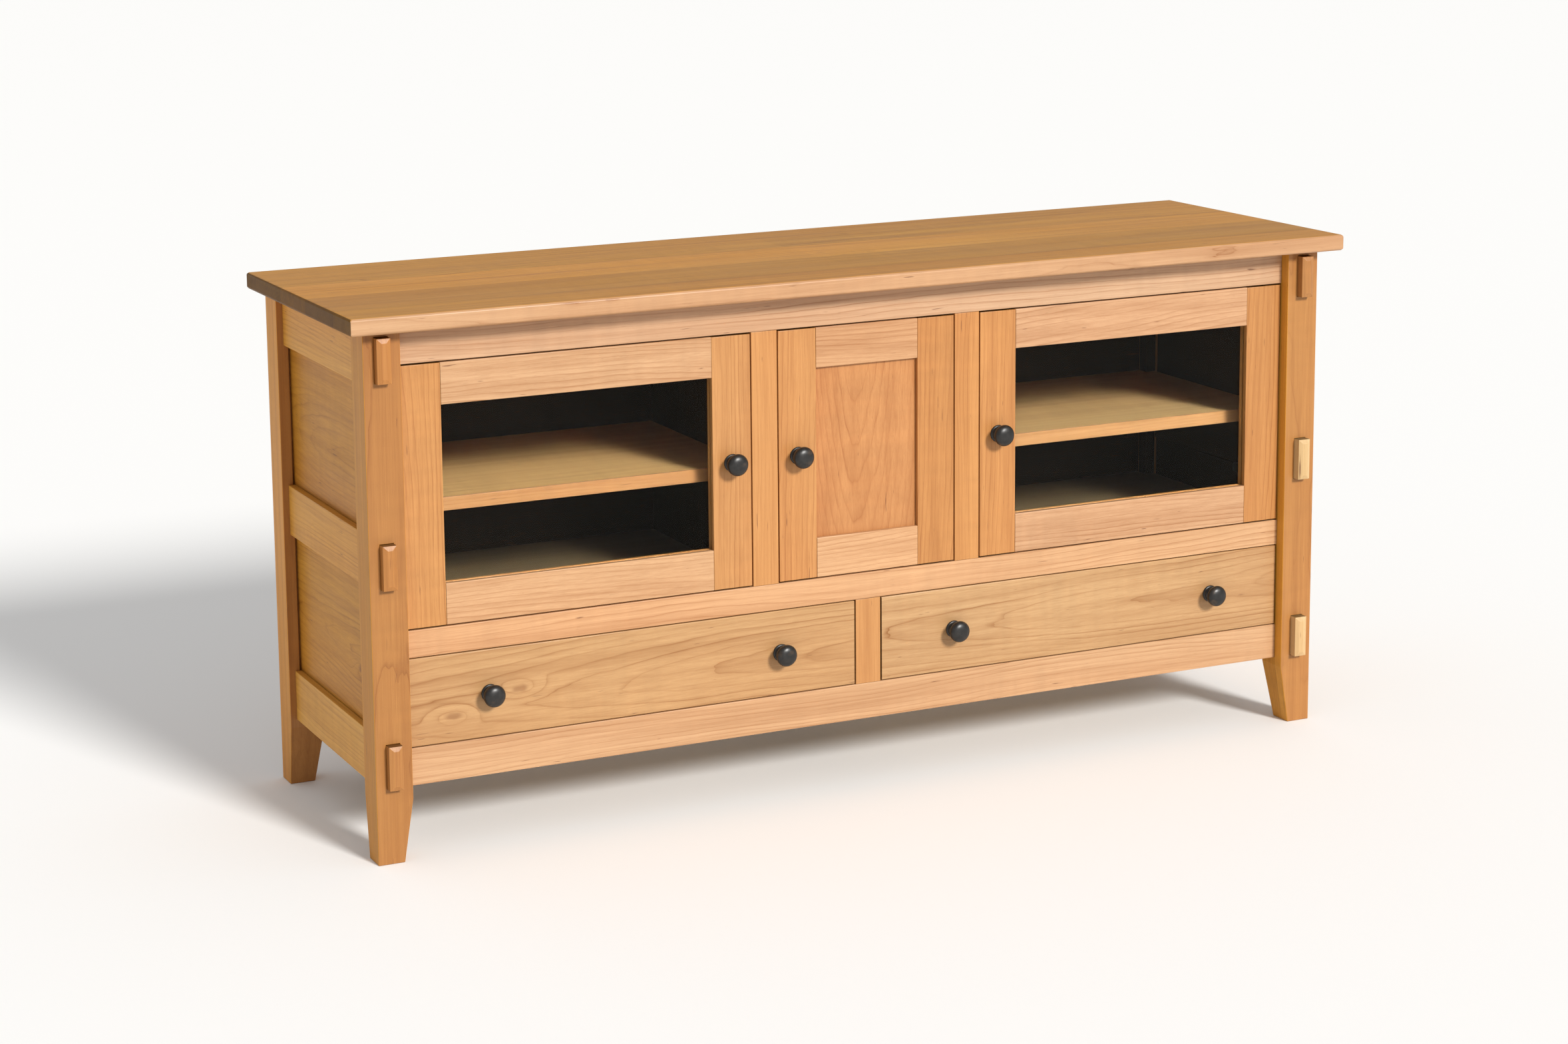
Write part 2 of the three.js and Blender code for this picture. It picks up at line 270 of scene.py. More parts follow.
def figure_group() -> bpy.types.NodeTree:
    """The figure of sawn cherry: growth rings, fibres, gum flecks, knots, curl, end grain and eased edges.

    Returns:
        The node group, which gives out a colour, a roughness and a height.
    """
    inputs = {
        "Pale": "Color", "Ring": "Color", "Ring Gap": "Float", "Ring Strength": "Float",
        "Flecks": "Float", "Curl": "Float", "Variety": "Float", "Base Roughness": "Float",
    }
    outputs = {"Color": "Color", "Roughness": "Float", "Height": "Float"}
    g, given, out = new_group("cherry_figure", inputs, outputs)

    strip = g.math("FLOOR", g.attribute("strip", "Fac"))
    chance = g.node("TexWhiteNoise", noise_dimensions="1D")
    g.feed(chance.inputs["W"], g.plus(strip, g.attribute("tone", "Fac")))
    apart = g.vector("SUBTRACT", chance.outputs["Color"], (0.5, 0.5, 0.5))
    jump = g.vector("MULTIPLY", apart, (9.0, 0.11, 0.03))
    laminated = g.math("GREATER_THAN", g.attribute("laminated", "Fac"), 0.5)
    place = g.vector("ADD", g.attribute("timber", "Vector"), g.vector("MULTIPLY", jump, laminated))
    knot = g.math("MINIMUM", g.vector("LENGTH", g.attribute("knot_a", "Vector")),
                  g.vector("LENGTH", g.attribute("knot_b", "Vector")))
    near_knot = g.between(knot, 1.0, 0.0)

    wander = g.times(g.centred(g.noise(place, (1.9, 9.0, 9.0), 1.5)), 0.040)
    waver = g.times(g.centred(g.noise(place, (7.0, 45.0, 45.0), 2.0)), 0.0042)
    flat = g.node("SeparateXYZ")
    g.feed(flat.inputs[0], place)
    radius = g.math("SQRT", g.plus(g.times(flat.outputs[1], flat.outputs[1]),
                                   g.times(flat.outputs[2], flat.outputs[2])))
    wobble = g.times(g.centred(g.noise(place, (24.0, 110.0, 110.0), 1.0)), 0.0020)
    bent = g.plus(g.plus(g.plus(radius, wander), waver), wobble)
    bent = g.plus(bent, g.times(near_knot, 0.016))
    years = g.math("DIVIDE", bent, given["Ring Gap"])
    year = g.math("FRACT", years)
    late = g.curve(year, [(0.0, 1.0), (0.05, 0.42), (0.13, 0.05), (0.55, 0.04), (0.84, 0.22), (1.0, 1.0)])
    vigour = g.node("TexWhiteNoise", noise_dimensions="1D")
    g.feed(vigour.inputs["W"], g.math("FLOOR", years))
    uneven = g.math("MULTIPLY_ADD", g.math("POWER", vigour.outputs["Value"], 1.6), 0.85, 0.15)
    patch = g.between(g.noise(place, (3.0, 30.0, 30.0), 2.0), 0.32, 0.66, (0.30, 1.0))
    ring = g.times(g.times(late, uneven), g.times(patch, given["Ring Strength"]))

    fibre = g.noise(place, (14.0, 1100.0, 1100.0), 2.0, 0.6)
    pores = g.between(g.noise(place, (75.0, 1500.0, 1500.0), 1.0), 0.62, 0.76)
    streak = g.between(g.noise(place, (1.1, 60.0, 60.0), 2.0), 0.35, 0.75)
    thread = g.between(g.noise(place, (5.0, 290.0, 290.0), 2.0, 0.65), 0.38, 0.72)
    gum = g.times(g.between(g.noise(place, (20.0, 260.0, 260.0), 2.0), 0.715, 0.78), given["Flecks"])
    curly = g.between(g.noise(place, (3.0, 9.0, 9.0), 0.0), 0.40, 0.65, (0.25, 1.0))
    curl = g.times(g.centred(g.noise(place, (58.0, 11.0, 11.0), 1.0)), curly)
    curl = g.times(curl, given["Curl"])

    colour = g.mix(g.math("MULTIPLY", ring, 1.0, clamp=True), given["Pale"], given["Ring"])
    colour = g.mix(g.times(streak, 0.30), colour, given["Ring"])
    colour = g.mix(g.times(thread, 0.20), colour, given["Ring"])
    colour = g.mix(g.between(fibre, 0.30, 0.75, (0.0, 0.20)), colour, given["Ring"])
    colour = g.mix(g.times(pores, 0.22), colour, (0.30, 0.12, 0.04))
    colour = g.mix(g.times(gum, 0.75), colour, (0.13, 0.045, 0.016))
    heart = g.plus(knot, g.times(g.noise(place, (60.0, 60.0, 60.0), 1.0), 0.25))
    colour = g.mix(g.between(heart, 0.42, 0.20, (0.0, 0.60)), colour, (0.22, 0.085, 0.025))
    blush = g.between(g.noise(place, (0.8, 5.0, 5.0), 1.0), 0.30, 0.70)
    colour = g.mix(g.times(blush, 0.30), colour, (0.93, 0.70, 0.52), "MULTIPLY")
    colour = g.mix(g.attribute("straw", "Fac"), colour, (0.99, 1.06, 1.22), "MULTIPLY")

    tone = g.plus(g.attribute("shade", "Fac"),
                  g.times(g.centred(chance.outputs["Value"]),
                         g.times(laminated, given["Variety"])))
    value = g.plus(g.plus(1.0, tone), curl)
    end = g.attribute("end_grain", "Fac")
    value = g.times(value, g.math("SUBTRACT", 1.0, g.times(end, 0.70)))
    edge = g.attribute("edge", "Fac")
    worn = g.between(g.noise(place, (26.0, 26.0, 26.0), 2.0), 0.35, 0.65)
    value = g.times(value, g.plus(1.0, g.times(edge, g.times(worn, 0.10))))
    seam = g.math("FRACT", g.attribute("strip", "Fac"))
    seam = g.math("MINIMUM", seam, g.math("SUBTRACT", 1.0, seam))
    glue = g.times(g.between(seam, 0.012, 0.004), laminated)
    value = g.times(value, g.math("SUBTRACT", 1.0, g.times(glue, 0.30)))
    shaded = g.node("HueSaturation")
    g.feed(shaded.inputs["Value"], value)
    g.feed(shaded.inputs["Saturation"], g.math("MULTIPLY_ADD", end, 0.12, 1.0))
    g.feed(shaded.inputs["Color"], colour)

    g.feed(out.inputs["Color"], shaded.outputs["Color"])
    smear = g.noise(place, (5.0, 22.0, 22.0), 3.0)
    rough = g.plus(given["Base Roughness"], g.times(g.centred(smear), 0.12))
    rough = g.plus(rough, g.times(g.math("MAXIMUM", pores, end), 0.10))
    g.feed(out.inputs["Roughness"], g.math("SUBTRACT", rough, g.times(edge, 0.05)))
    relief = g.math("MULTIPLY_ADD", fibre, 0.35, g.times(late, 0.25))
    relief = g.math("SUBTRACT", relief, g.times(g.math("MAXIMUM", pores, gum), 0.6))
    g.feed(out.inputs["Height"], relief)
    return g.tree


@dataclass(frozen=True)
class WoodFinish:
    """Oiled timber.

    Attributes:
        name: The material's name.
        slot: The record's material slot.
        pale: The colour between the growth rings.
        ring: The colour of the late growth.
        gap: The distance between rings, in metres.
        strength: How dark the rings are drawn, from 0 to 1.
        flecks: How strong the gum flecks are, from 0 to 1.
        curl: How much the figure shimmers across the fibres.
        variety: How much the glued strips differ in tone.
        roughness: The middle roughness of the surface.
        coat: The weight of the oil's clear film.
        specular: The level of the bare wood's own shine.
    """

    name: str
    slot: str
    pale: Colour
    ring: Colour
    gap: float = 0.0052
    strength: float = 0.75
    flecks: float = 1.0
    curl: float = 0.17
    variety: float = 0.11
    roughness: float = 0.44
    coat: float = 0.08
    specular: float = 0.35

    def material(self) -> bpy.types.Material:
        """The finish's material, made the first time that it is asked for."""
        found = bpy.data.materials.get(self.name)
        if found:
            return found
        made, g, shader = new_material(self.name)
        figure = g.node("Group", node_tree=bpy.data.node_groups.get("cherry_figure") or figure_group())
        values = {
            "Pale": (*self.pale, 1.0), "Ring": (*self.ring, 1.0), "Ring Gap": self.gap,
            "Ring Strength": self.strength, "Flecks": self.flecks, "Curl": self.curl,
            "Variety": self.variety, "Base Roughness": self.roughness,
        }
        g.settle(figure, values)
        g.bump(shader, figure.outputs["Height"], 0.35, 0.25 * MM)
        g.feed(shader.inputs["Base Color"], figure.outputs["Color"])
        g.feed(shader.inputs["Roughness"], figure.outputs["Roughness"])
        g.settle(shader, {"Specular IOR Level": self.specular, "Coat Weight": self.coat,
                          "Coat Roughness": 0.28})
        return made


# Cherry colour with some painted light: the top's colour is set against the light that falls on the top face.
TOP_PAINTED_LIGHT = WoodFinish(
    "painted_light_top", "top_cherry", (0.65, 0.307, 0.043), (0.232, 0.074, 0.008),
    gap=0.0064, specular=0.15, coat=0.0, strength=1.7, variety=0.38)
LEG = WoodFinish(
    "oiled_leg", "leg_cherry", (0.43, 0.19, 0.048), (0.205, 0.062, 0.01),
    gap=0.006, strength=1.3)
# Painted light: a brighter copy of the leg finish for the legs' side faces, which the key light leaves in shade.
LEG_SIDE_PAINTED_LIGHT = WoodFinish(
    "painted_light_leg_side", "leg_cherry", (0.68, 0.31, 0.04), (0.33, 0.105, 0.009),
    gap=0.006, strength=1.2, specular=0.2, coat=0.0)
# Cherry colour with a painted sheen: the rails are paler than the stiles to stand for the sheen of their level
# fibres under light from above.
RAIL_PAINTED_SHEEN = WoodFinish(
    "painted_sheen_rail", "frame_cherry", (0.58, 0.345, 0.18), (0.285, 0.11, 0.03),
    gap=0.0064, strength=1.5)
STILE = WoodFinish(
    "oiled_stile", "frame_cherry", (0.525, 0.245, 0.076), (0.27, 0.088, 0.016),
    gap=0.0064, strength=1.4)
# Painted light: the side panels and back rails are paler than the front's cherry, to lift faces that the key
# light leaves in shade.
SIDE_PAINTED_LIGHT = WoodFinish(
    "painted_light_side", "side_cherry", (0.59, 0.27, 0.034), (0.28, 0.092, 0.008),
    gap=0.007, specular=0.2, strength=1.3, coat=0.0)
# Painted light: the side rails are paler still, to lift the sides that the key light leaves in shade.
SIDE_RAIL_PAINTED_LIGHT = WoodFinish(
    "painted_light_side_rail", "side_cherry", (0.74, 0.37, 0.062), (0.36, 0.13, 0.014),
    gap=0.0064, specular=0.2, strength=1.2, coat=0.0)
FRONT = WoodFinish(
    "oiled_front", "front_cherry", (0.525, 0.3, 0.124), (0.26, 0.098, 0.022),
    gap=0.0082, strength=1.5)
PANEL = WoodFinish(
    "oiled_panel", "front_cherry", (0.53, 0.24, 0.082), (0.29, 0.088, 0.018),
    gap=0.0072, strength=1.3)
SAPWOOD = WoodFinish(
    "oiled_sapwood", "side_cherry", (0.62, 0.425, 0.205), (0.42, 0.23, 0.075),
    strength=0.7)
INSIDE = WoodFinish(
    "oiled_inside", "interior_wood", (0.575, 0.355, 0.15), (0.345, 0.177, 0.058),
    strength=0.8, roughness=0.6, coat=0.0, specular=0.25)
# Painted shade: the shelves' lipping is a darker copy of the front's cherry, for the shade it lies in inside the
# case.
LIPPING_PAINTED_SHADE = WoodFinish(
    "painted_shade_lipping", "interior_wood", (0.43, 0.215, 0.084), (0.25, 0.092, 0.022),
    strength=1.1)
# Painted shade: the bay floor and the hinges' packing blocks get a darkened wood colour for the shade inside the
# case.
FLOOR_PAINTED_SHADE = WoodFinish(
    "painted_shade_floor", "interior_wood", (0.18, 0.122, 0.061), (0.108, 0.065, 0.028),
    strength=0.7, roughness=0.6, coat=0.0, specular=0.25)
# Painted shade: a near-black finish for the partitions and for the faces of the sides, rails, back and rear legs
# that look into the case, where the case's inside lies in shade.
PAINTED_SHADE = WoodFinish(
    "painted_shade_inside", "interior_wood", (0.025, 0.0135, 0.006), (0.014, 0.007, 0.003),
    strength=0.7, roughness=0.75, coat=0.0, specular=0.15)
BACKING = WoodFinish(
    "bare_backing", "interior_wood", (0.48, 0.26, 0.095), (0.29, 0.13, 0.035),
    strength=0.9, roughness=0.62, coat=0.0, specular=0.25)
DRAWER = WoodFinish(
    "sanded_maple", "drawer_wood", (0.56, 0.43, 0.27), (0.42, 0.29, 0.16),
    strength=0.5, flecks=0.3, roughness=0.62, coat=0.0)


class Metal(Enum):
    """The two metals: the knobs' dark bronze and the hinges' blackened steel."""

    BRONZE = ("dark_bronze", (0.0105, 0.0095, 0.0085), 0.36, 0.20)
    STEEL = ("blackened_steel", (0.030, 0.029, 0.028), 0.42, 0.80)

    def material(self) -> bpy.types.Material:
        """The metal's material: uneven patina, rubbed high spots and a fine cast texture."""
        name, colour, rough, metallic = self.value
        found = bpy.data.materials.get(name)
        if found:
            return found
        made, g, shader = new_material(name)
        place = g.node("TexCoord").outputs["Object"]
        patina = g.noise(place, (160.0, 160.0, 160.0), 4.0)
        rubbed = g.between(g.noise(place, (70.0, 70.0, 70.0), 2.0), 0.58, 0.72)
        tint = g.mix(g.between(patina, 0.35, 0.70), colour, tuple(c * 1.7 for c in colour))
        tint = g.mix(g.math("MULTIPLY", rubbed, 0.35), tint, (0.090, 0.055, 0.032))
        g.feed(shader.inputs["Base Color"], tint)
        g.feed(shader.inputs["Roughness"], g.math("MULTIPLY_ADD", patina, 0.16, rough - 0.08))
        g.bump(shader, g.noise(place, (900.0, 900.0, 900.0), 2.0), 0.25, 0.08 * MM)
        g.settle(shader, {"Metallic": metallic, "Coat Weight": 0.10, "Coat Roughness": 0.30})
        return made


def glass_material() -> bpy.types.Material:
    """Clear float glass with a few faint smears, which lets the lamps through."""
    made, g, shader = new_material("float_glass")
    place = g.node("TexCoord").outputs["Object"]
    smear = g.between(g.noise(place, (9.0, 9.0, 9.0), 3.0), 0.45, 0.80)
    g.feed(shader.inputs["Roughness"], g.math("MULTIPLY_ADD", smear, 0.035, 0.01))
    g.feed(shader.inputs["Base Color"], g.mix(smear, (0.93, 0.96, 0.94), (0.89, 0.92, 0.90)))
    g.settle(shader, {"Transmission Weight": 1.0, "IOR": 1.14})
    clear = g.node("BsdfTransparent")
    g.settle(clear, {"Color": (0.86, 0.89, 0.87, 1.0)})
    mixed = g.node("MixShader")
    g.feed(mixed.inputs[0], g.node("LightPath").outputs["Is Shadow Ray"])
    g.feed(mixed.inputs[1], shader.outputs[0])
    g.feed(mixed.inputs[2], clear.outputs[0])
    g.feed(made.node_tree.nodes["Material Output"].inputs["Surface"], mixed.outputs[0])
    return made


# -------------------------------------------------------------------------------------------- workshop


class Workshop:
    """Makes the pieces: refines CAD solids, makes new ones, marks their timber and hangs them on bodies."""

    def __init__(self, seed: int) -> None:
        """Starts the draws that choose each board's timber from the seed."""
        self.chance = random.Random(seed)
        bodies = frame["record"]["behaviour"]["bodies"]
        self.body_of = {node: body for body, nodes in bodies.items() for node in nodes}

    @staticmethod
    def ease(mesh: Solid, width: float, segments: int = 3) -> list[bmesh.types.BMFace]:
        """Rounds every outer edge of a solid.

        Args:
            mesh: The solid.
            width: The bevel's width.
            segments: The bevel's steps.

        Returns:
            The faces that the bevel made.
        """
        mesh.normal_update()
        sharp = [e for e in mesh.edges if e.is_manifold and e.is_convex and e.calc_face_angle(0.0) > 0.35]
        made = bmesh.ops.bevel(mesh, geom=sharp, offset=width, offset_type="OFFSET", segments=segments,
                               profile=0.5, affect="EDGES", material=-1, clamp_overlap=True)
        return made["faces"]

    def mark(self, piece: Piece, grain: Grain, edges: set[int]) -> None:
        """Writes where each point of a board lay in the log, and which faces are end grain or eased edges.

        Args:
            piece: The board.
            grain: How its timber runs.
            edges: The numbers of its eased faces.
        """
        data, draw = piece.data, self.chance
        corners = [v.co for v in data.vertices]
        low = Vector(min(c[i] for c in corners) for i in range(3))
        high = Vector(max(c[i] for c in corners) for i in range(3))
        centre = (low + high) / 2
        aside, under = (part * draw.uniform(0.8, 1.25) for part in grain.cut.value)
        aside *= draw.choice((-1, 1))
        lean = grain.slope * draw.uniform(0.8, 1.2) * draw.choice((-1, 1))
        drift = draw.uniform(-0.008, 0.008)
        start = draw.uniform(0.0, 40.0)
        seed, shade = draw.uniform(1.0, 90.0), draw.uniform(-0.055, 0.055)
        spots = (*grain.knots, NO_KNOT, NO_KNOT)[:2]
        timber, strips, knots = [], [], ([], [])
        for corner in corners:
            u, v, w = ((corner - centre)[axis.value] for axis in (grain.along, grain.across, grain.deep))
            timber += [u + start, v + aside + drift * u, w + under + lean * u]
            over = corner[grain.across.value] - low[grain.across.value]
            strips.append(SEAM_START + over / (grain.strip or 1.0))
            for spot, swirl in zip(spots, knots):
                swirl += [(u - spot[0]) / KNOT_SIZE[0], (v - spot[1]) / KNOT_SIZE[1], 0.0]
        count = len(corners)
        straw = draw.random() ** 2
        values = {
            "timber": ("FLOAT_VECTOR", "vector", timber), "straw": ("FLOAT", "value", [straw] * count),
            "knot_a": ("FLOAT_VECTOR", "vector", knots[0]), "knot_b": ("FLOAT_VECTOR", "vector", knots[1]),
            "strip": ("FLOAT", "value", strips), "tone": ("FLOAT", "value", [seed] * count),
            "shade": ("FLOAT", "value", [shade] * count),
            "laminated": ("FLOAT", "value", [1.0 if grain.strip else 0.0] * count),
        }
        for name, (kind, field, numbers) in values.items():
            data.attributes.new(name, kind, "POINT").data.foreach_set(field, numbers)
        across_fibres = [float(abs(f.normal[grain.along.value]) > 0.7) for f in data.polygons]
        data.attributes.new("end_grain", "FLOAT", "FACE").data.foreach_set("value", across_fibres)
        eased = [float(f.index in edges) for f in data.polygons]
        data.attributes.new("edge", "FLOAT", "FACE").data.foreach_set("value", eased)

    def hang(self, name: str, mesh: Solid, material: bpy.types.Material, body: str,
             slot: str) -> Piece:
        """Turns a bmesh into a piece that rides on a body.

        Args:
            name: The piece's name.
            mesh: The shape, which is freed.
            material: The piece's material.
            body: The CAD body that it moves with.
            slot: The record's material slot; not used.

        Returns:
            The new object.
        """
        data = bpy.data.meshes.new(name)
        mesh.to_mesh(data)
        mesh.free()
        piece = link_object(name, data)
        data.materials.append(material)
        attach(piece, body)
        LOG.info("%s: %d faces on %s", name, len(data.polygons), body)
        return piece

    def finish_board(self, name: str, mesh: Solid, wood: WoodFinish, grain: Grain, body: str,
                     ease: float) -> Piece:
        """Eases a board's edges, hangs it and marks its timber.

        Args:
            name: The piece's name.
            mesh: The square-edged board.
            wood: Its finish.
            grain: How its timber runs.
            body: The CAD body that it moves with.
            ease: The width of the rounded edges.

        Returns:
            The new object.
        """
        rounded = self.ease(mesh, ease)
        for face in rounded:
            face.smooth = True
        mesh.faces.index_update()
        edges = {face.index for face in rounded if face.is_valid}
        piece = self.hang(name, mesh, wood.material(), body, wood.slot)
        self.mark(piece, grain, edges)
        return piece

    def copy_of(self, node: str) -> Solid:
        """A merged copy of a CAD node's mesh, with flat faces in one piece."""
        mesh = bmesh.new()
        mesh.from_mesh(frame["nodes"][node].data)
        bmesh.ops.remove_doubles(mesh, verts=mesh.verts, dist=0.02 * MM)
        bmesh.ops.dissolve_limit(mesh, angle_limit=math.radians(0.5), verts=mesh.verts, edges=mesh.edges)
        return mesh

    def refine(self, node: str, wood: WoodFinish, grain: Grain, ease: float = 0.9 * MM,
               keep_behind: float | None = None) -> Piece:
        """Makes the finished board that stands for a CAD node.

        Args:
            node: The CAD node.
            wood: The board's finish.
            grain: How its timber runs.
            ease: The width of its rounded edges.
            keep_behind: Where given, what lies in front of this Y is cut off.

        Returns:
            The new object.
        """
        mesh = self.copy_of(node)
        if keep_behind is not None:
            self.trim(mesh, keep_behind)
        piece = self.finish_board(f"{node}_board", mesh, wood, grain, self.body_of[node], ease)
        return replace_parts(piece, node)

    @staticmethod
    def redress(piece: Piece, wood: WoodFinish, axis: Axis, way: int = 0) -> None:
        """Gives a second finish to the faces of a board that look along an axis, one way or both: here it paints
        light or shade onto faces by the way they look.
        """
        piece.data.materials.append(wood.material())
        for face in piece.data.polygons:
            look = face.normal[axis.value]
            if (look * way if way else abs(look)) > 0.5:
                face.material_index = 1

    @staticmethod
    def trim(mesh: Solid, y: float) -> None:
        """Cuts off what lies in front of y and closes the cut."""
        made = bmesh.ops.bisect_plane(mesh, geom=whole(mesh), plane_co=(0, y, 0), plane_no=(0, -1, 0),
                                      clear_outer=True)
        rim = [e for e in made["geom_cut"] if isinstance(e, bmesh.types.BMEdge)]
        bmesh.ops.contextual_create(mesh, geom=rim)
        bmesh.ops.recalc_face_normals(mesh, faces=mesh.faces)

    @staticmethod
    def paint_shade_inside(piece: Piece, x: float, y: float, z: float) -> None:
        """Gives the near-black painted shade finish to the parts of a rear leg that look into the case, where the
        case's inside lies in shade.

        Args:
            piece: The leg.
            x: How far from the middle the case's inside reaches.
            y: How far back the inside reaches.
            z: The height that the inside starts at.
        """
        mesh = bmesh.new()
        mesh.from_mesh(piece.data)
        side = math.copysign(1.0, sum(v.co.x for v in mesh.verts))
        for place, look in (((side * x, 0, 0), (1, 0, 0)), ((0, y, 0), (0, 1, 0)), ((0, 0, z), (0, 0, 1))):
            bmesh.ops.bisect_plane(mesh, geom=whole(mesh), plane_co=place, plane_no=look)
        slot = len(piece.data.materials)
        for face in mesh.faces:
            middle = face.calc_center_median()
            inward = face.normal.y < -0.5 or face.normal.x * side < -0.5
            if inward and abs(middle.x) < x and middle.y < y and middle.z > z:
                face.material_index = slot
        mesh.to_mesh(piece.data)
        mesh.free()
        piece.data.materials.append(PAINTED_SHADE.material())

    @staticmethod
    def box(x: Span, y: Span, z: Span) -> Solid:
        """A box that fills three ranges."""
        mesh = bmesh.new()
        size = Matrix.Diagonal((abs(x[1] - x[0]), y[1] - y[0], z[1] - z[0], 1.0))
        place = Matrix.Translation((sum(x) / 2, sum(y) / 2, sum(z) / 2))
        bmesh.ops.create_cube(mesh, size=1.0, matrix=place @ size)
        return mesh

    def steel(self, name: str, mesh: Solid, body: str) -> Piece:
        """Hangs a steel piece on a body, with its bevels and turned faces shaded smooth."""
        for face in mesh.faces:
            face.smooth = len(face.verts) <= 4 and face.calc_area() < SMOOTH_BELOW
        return self.hang(name, mesh, Metal.STEEL.material(), body, "knob_bronze")

    def steel_box(self, name: str, spans: tuple[Span, Span, Span], ease: float, segments: int, body: str) -> None:
        """Hangs a steel block with rounded edges that fills three ranges."""
        mesh = self.box(*spans)
        self.ease(mesh, ease, segments)
        self.steel(name, mesh, body)

    def disc(self, radius: float, depth: Span, centre: tuple[float, float], ease: float,
             sides: int = 32) -> Solid:
        """A round plate whose axis runs along Y.

        Args:
            radius: Its radius.
            depth: Where it starts and ends along Y.
            centre: Its centre, as X and Z.
            ease: The width of its rounded rims.
            sides: How many sides stand for the circle.

        Returns:
            The plate.
        """
        mesh = bmesh.new()
        middle = Matrix.Translation((centre[0], sum(depth) / 2, centre[1]))
        place = middle @ Matrix.Rotation(math.pi / 2, 4, "X")
        bmesh.ops.create_cone(mesh, cap_ends=True, segments=sides, radius1=radius, radius2=radius,
                              depth=depth[1] - depth[0], matrix=place)
        if ease:
            self.ease_rims(mesh, ease)
        return mesh

    @staticmethod
    def ease_rims(mesh: Solid, width: float) -> None:
        """Rounds the edges between a disc's caps and its wall."""
        rims = [e for e in mesh.edges if e.calc_face_angle(0.0) > 1.0]
        bmesh.ops.bevel(mesh, geom=rims, offset=width, segments=2, profile=0.5, affect="EDGES", material=-1)


# ------------------------------------------------------------------------------------------ sub-assemblies


@dataclass
class Carcass:
    """The fixed case: top, legs, sides, face frame, back and what is inside.

    Attributes:
        shop: Makes the pieces.
        top_strip: The width of each board glued into the top.
        leg_strip: The thickness of each layer glued into a leg.
        top_ease: The rounding of the top's edges.
        block_facet: How wide the sloping facets of each tenon's end are.
        lipping: The depth of the solid edge on each shelf.
        pin_radius: The radius of a shelf pin.
        pin_length: How far a pin stands out of its wall.
        screw_radius: The radius of a screw's head.
        screw_shares: Where the screws stand along a back rail, as shares of its length.
    """

    shop: Workshop
    top_strip: float = 0.118
    leg_strip: float = 0.0251
    top_ease: float = 1.1 * MM
    block_facet: float = 6.5 * MM
    lipping: float = 6.0 * MM
    pin_radius: float = 2.5 * MM
    pin_length: float = 9.0 * MM
    screw_radius: float = 4.2 * MM
    screw_shares: tuple[float, ...] = (0.04, 0.27, 0.5, 0.73, 0.96)

    def build(self) -> None:
        """Builds every fixed board."""
        self.build_top_and_legs()
        self.build_sides()
        self.build_face_frame()
        self.build_inside()
        self.build_back()

    def build_top_and_legs(self) -> None:
        """The slab, glued up from wide boards, and the laminated legs."""
        slab = Grain(Axis.X, Axis.Y, slope=0.010, strip=self.top_strip)
        top = self.shop.refine("top_slab", TOP_PAINTED_LIGHT, slab, self.top_ease)
        # Painted light: the slab's front edge gets the paler rail finish, with its painted sheen, for the light
        # that falls on that face.
        self.shop.redress(top, RAIL_PAINTED_SHEEN, Axis.Y, -1)
        for side in SIDES:
            for end in ("front", "rear"):
                layered = Grain(Axis.Z, Axis.Y, Cut.QUARTER, slope=0.006, strip=self.leg_strip)
                leg = self.shop.refine(f"leg_{end}_{side}", LEG, layered)
                # Painted light on the legs' side faces.
                self.shop.redress(leg, LEG_SIDE_PAINTED_LIGHT, Axis.X)
                if end == "rear":
                    inner = min(abs(corner.x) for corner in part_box(f"side_rail_middle_{side}"))
                    # Painted shade on the rear leg's faces inside the case.
                    self.shop.paint_shade_inside(leg, inner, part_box("back_panel")[0].y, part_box("bay_floor")[0].z)

    def build_sides(self) -> None:
        """The side rails, their tenon blocks and the side panels."""
        level = Grain(Axis.Y, Axis.Z)
        for side, sign in SIDES.items():
            for place in ("bottom", "middle", "top"):
                node = f"side_rail_{place}_{side}"
                leg_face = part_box(f"leg_front_{side}")[0].y
                rail = self.shop.refine(node, SIDE_RAIL_PAINTED_LIGHT, level, keep_behind=leg_face + 3 * MM)
                # Painted shade on the rail's face that looks into the case.
                self.shop.redress(rail, PAINTED_SHADE, Axis.X, -sign)
                self.build_block(node, leg_face, SAPWOOD if side == "right" and place != "top" else LEG)
            for place in ("lower", "upper"):
                knots = ((-0.11, -0.03),) if (side, place) == ("left", "lower") else ()
                figured = Grain(Axis.Y, Axis.Z, Cut.FLAT, slope=0.05, knots=knots)
                panel = self.shop.refine(f"side_panel_{place}_{side}", SIDE_PAINTED_LIGHT, figured)
                # Painted shade on the panel's face that looks into the case.
                self.shop.redress(panel, PAINTED_SHADE, Axis.X, -sign)

    def build_block(self, node: str, leg_face: float, wood: WoodFinish) -> None:
        """The faceted block that ends a rail's tenon.

        Args:
            node: The side rail.
            leg_face: The Y of the leg's front face.
            wood: The block's finish.
        """
        tips = [v.co for v in frame["nodes"][node].data.vertices if v.co.y < leg_face - 1 * MM]
        spans = [(min(t[i] for t in tips), max(t[i] for t in tips)) for i in range(3)]
        tip = spans[1][0]
        shoulder = min(t.y for t in tips if t.y > tip + 1 * MM)
        mesh = self.shop.box(spans[0], (shoulder, leg_face + 3 * MM), spans[2])
        mesh.normal_update()
        front = [face for face in mesh.faces if face.normal.y < -0.9]
        bmesh.ops.inset_region(mesh, faces=front, thickness=self.block_facet, depth=0.0, use_even_offset=True)
        bmesh.ops.translate(mesh, verts=front[0].verts, vec=(0.0, tip - shoulder, 0.0))
        upright = Grain(Axis.Z, Axis.X, Cut.QUARTER, slope=0.004)
        self.shop.finish_board(f"{node}_block", mesh, wood, upright, "cabinet", 0.35 * MM)

